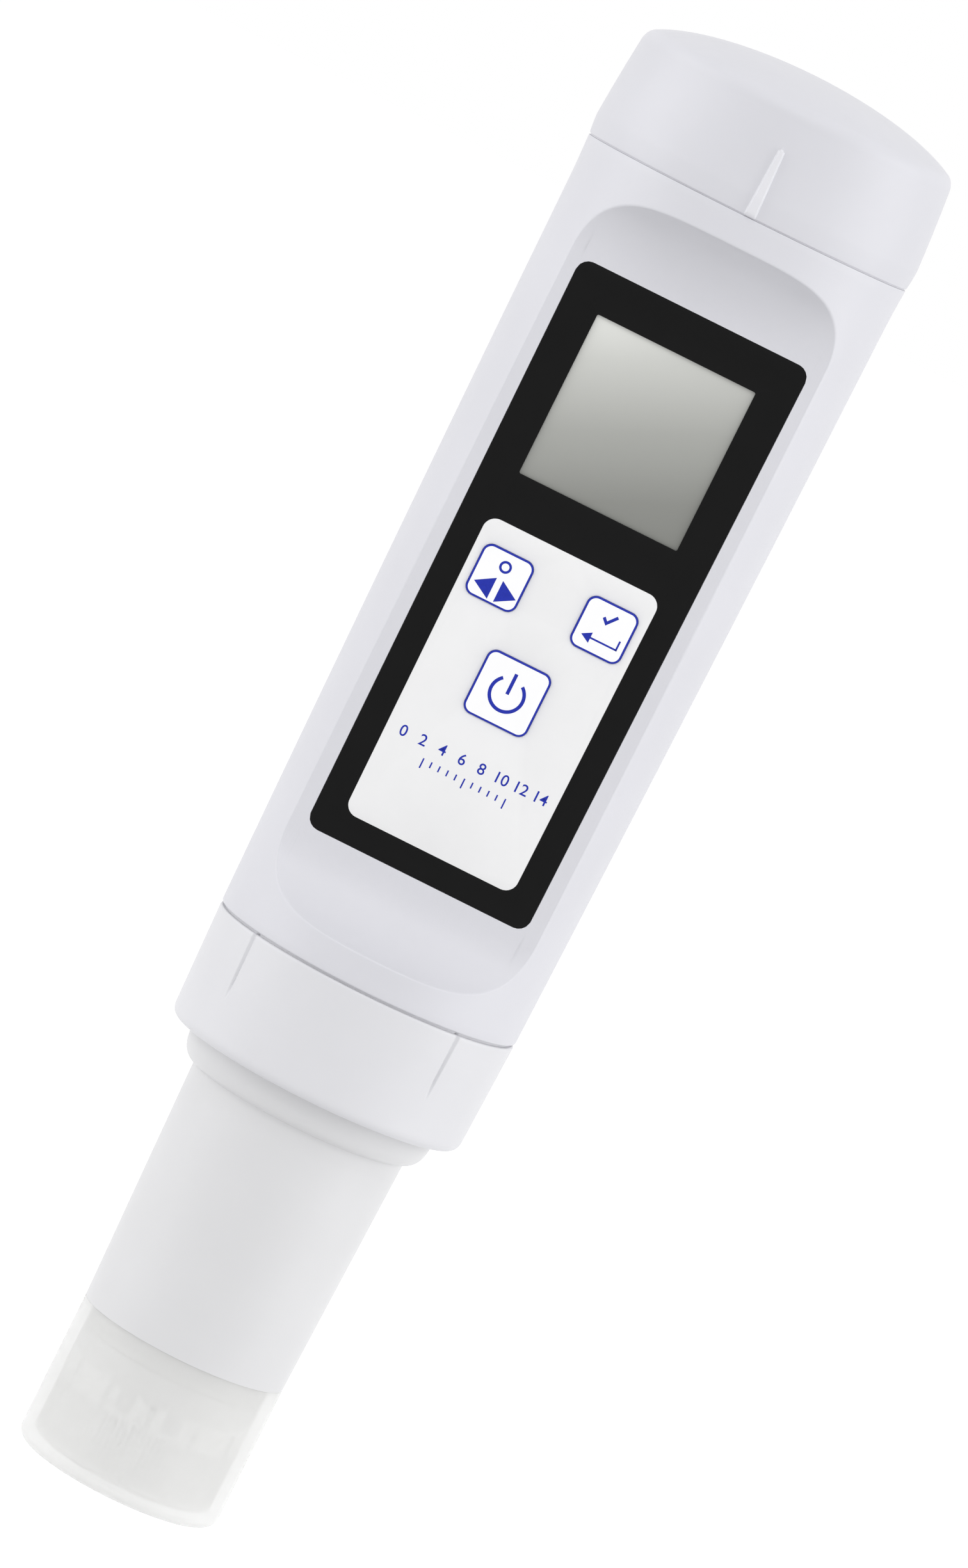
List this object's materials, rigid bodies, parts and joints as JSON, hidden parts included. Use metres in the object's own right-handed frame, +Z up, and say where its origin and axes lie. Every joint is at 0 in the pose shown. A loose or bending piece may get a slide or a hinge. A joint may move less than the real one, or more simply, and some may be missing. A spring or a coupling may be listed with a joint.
{
  "type": "water quality tester",
  "caption": "Pen-shaped water tester with a scooped display and key face, pull-off battery cap, screwed collar over a sensor module and a translucent storage cup.",
  "frame": {"origin": "centre of the storage cup's flat foot, which the upright tester stands on", "axes": "+Z up the tester's axis towards the battery cap, -Y out of the front face with the display and keys, +X to the right when looking at the front"},
  "size_m": [0.04, 0.0404, 0.1781],
  "materials": {
    "white_plastic": "fine satin moulded plastic, cool white",
    "panel_black": "smooth black film",
    "sheet_grey": "smooth light grey film",
    "key_white": "white key pads with blue marks",
    "clear_window": "clear moulded window",
    "display": "grey-green display glass",
    "frame_grey": "grey moulded frame",
    "strip_rubber": "layered conductive rubber",
    "board_green": "green solder mask",
    "chip_black": "black moulded chip package",
    "switch_metal": "stamped metal cover",
    "button_black": "black switch button",
    "steel": "bright steel",
    "part_cans": "small metal cans",
    "socket_black": "black moulded socket",
    "carrier_grey": "dark grey moulded carrier",
    "cell_sleeve": "copper-coloured sleeve on a bright can",
    "seal_rubber": "black rubber ring",
    "collar_white": "fine satin moulded plastic, cool white",
    "cap_white": "fine satin moulded plastic, cool white",
    "washer_pale": "pale slip washer",
    "module_white": "fine satin moulded plastic, white",
    "pin_gold": "gold-plated brass",
    "insert_black": "black moulded insert",
    "electrode_steel": "polished stainless steel",
    "cup_clear": "cloudy translucent plastic"
  },
  "bodies": {
    "shell": {"body_shell": "white_plastic", "panel_film": "panel_black", "key_sheet": "sheet_grey", "switch_bases": "switch_metal", "display_window": "clear_window", "display_glass": "display", "display_frame": "frame_grey", "contact_strips": "strip_rubber", "main_board": "board_green", "controller_chip": "chip_black", "board_parts": "part_cans", "board_screws": "steel", "connector_socket": "socket_black", "battery_carrier": "carrier_grey", "contact_board": "board_green", "contact_springs": "steel", "cell_1": "cell_sleeve", "cell_2": "cell_sleeve", "cell_3": "cell_sleeve", "cell_4": "cell_sleeve"},
    "left_key_body": {"left_key": "key_white", "left_switch_button": "button_black"},
    "right_key_body": {"right_key": "key_white", "right_switch_button": "button_black"},
    "lower_key_body": {"lower_key": "key_white", "lower_switch_button": "button_black"},
    "cap": {"battery_cap": "cap_white", "cap_seal": "seal_rubber", "contact_holder": "carrier_grey", "bridge_contacts": "steel", "holder_screw": "steel"},
    "module": {"sensor_module": "module_white", "module_seal": "seal_rubber", "module_lid": "carrier_grey", "connector_pins": "pin_gold", "sensor_board": "board_green", "cell_insert": "insert_black", "electrodes": "electrode_steel", "temperature_probe": "electrode_steel", "cup_seal": "seal_rubber"},
    "collar": {"locking_collar": "collar_white", "slip_washer": "washer_pale"},
    "cup": {"storage_cup": "cup_clear"}
  },
  "joints": [
    {"name": "left_key_press", "type": "slide", "parent": "shell", "child": "left_key_body", "axis": [0, 0.9998, 0.0176], "range_m": [0, 0.0003], "stiffness_N_per_m": 3000, "springref_m": -0.0001},
    {"name": "right_key_press", "type": "slide", "parent": "shell", "child": "right_key_body", "axis": [0, 0.9998, 0.0176], "range_m": [0, 0.0003], "stiffness_N_per_m": 3000, "springref_m": -0.0001},
    {"name": "lower_key_press", "type": "slide", "parent": "shell", "child": "lower_key_body", "axis": [0, 0.9998, 0.0176], "range_m": [0, 0.0003], "stiffness_N_per_m": 3000, "springref_m": -0.0001},
    {"name": "cap_pull", "type": "slide", "parent": "shell", "child": "cap", "axis": [0, 0, 1], "range_m": [0, 0.03]},
    {"name": "module_drop", "type": "slide", "parent": "shell", "child": "module", "axis": [0, 0, -1], "range_m": [0, 0.006]},
    {"name": "collar_turn", "type": "hinge", "parent": "module", "child": "collar", "pos_m": [0, 0, 0.055], "axis": [0, 0, -1], "range_deg": [0, 720]},
    {"name": "cup_pull", "type": "slide", "parent": "module", "child": "cup", "axis": [0, 0, -1], "range_m": [0, 0.03]}
  ],
  "couplings": [
    {"joint": "module_drop", "follows": "collar_turn", "m_per_rad": 0.00047746}
  ]
}
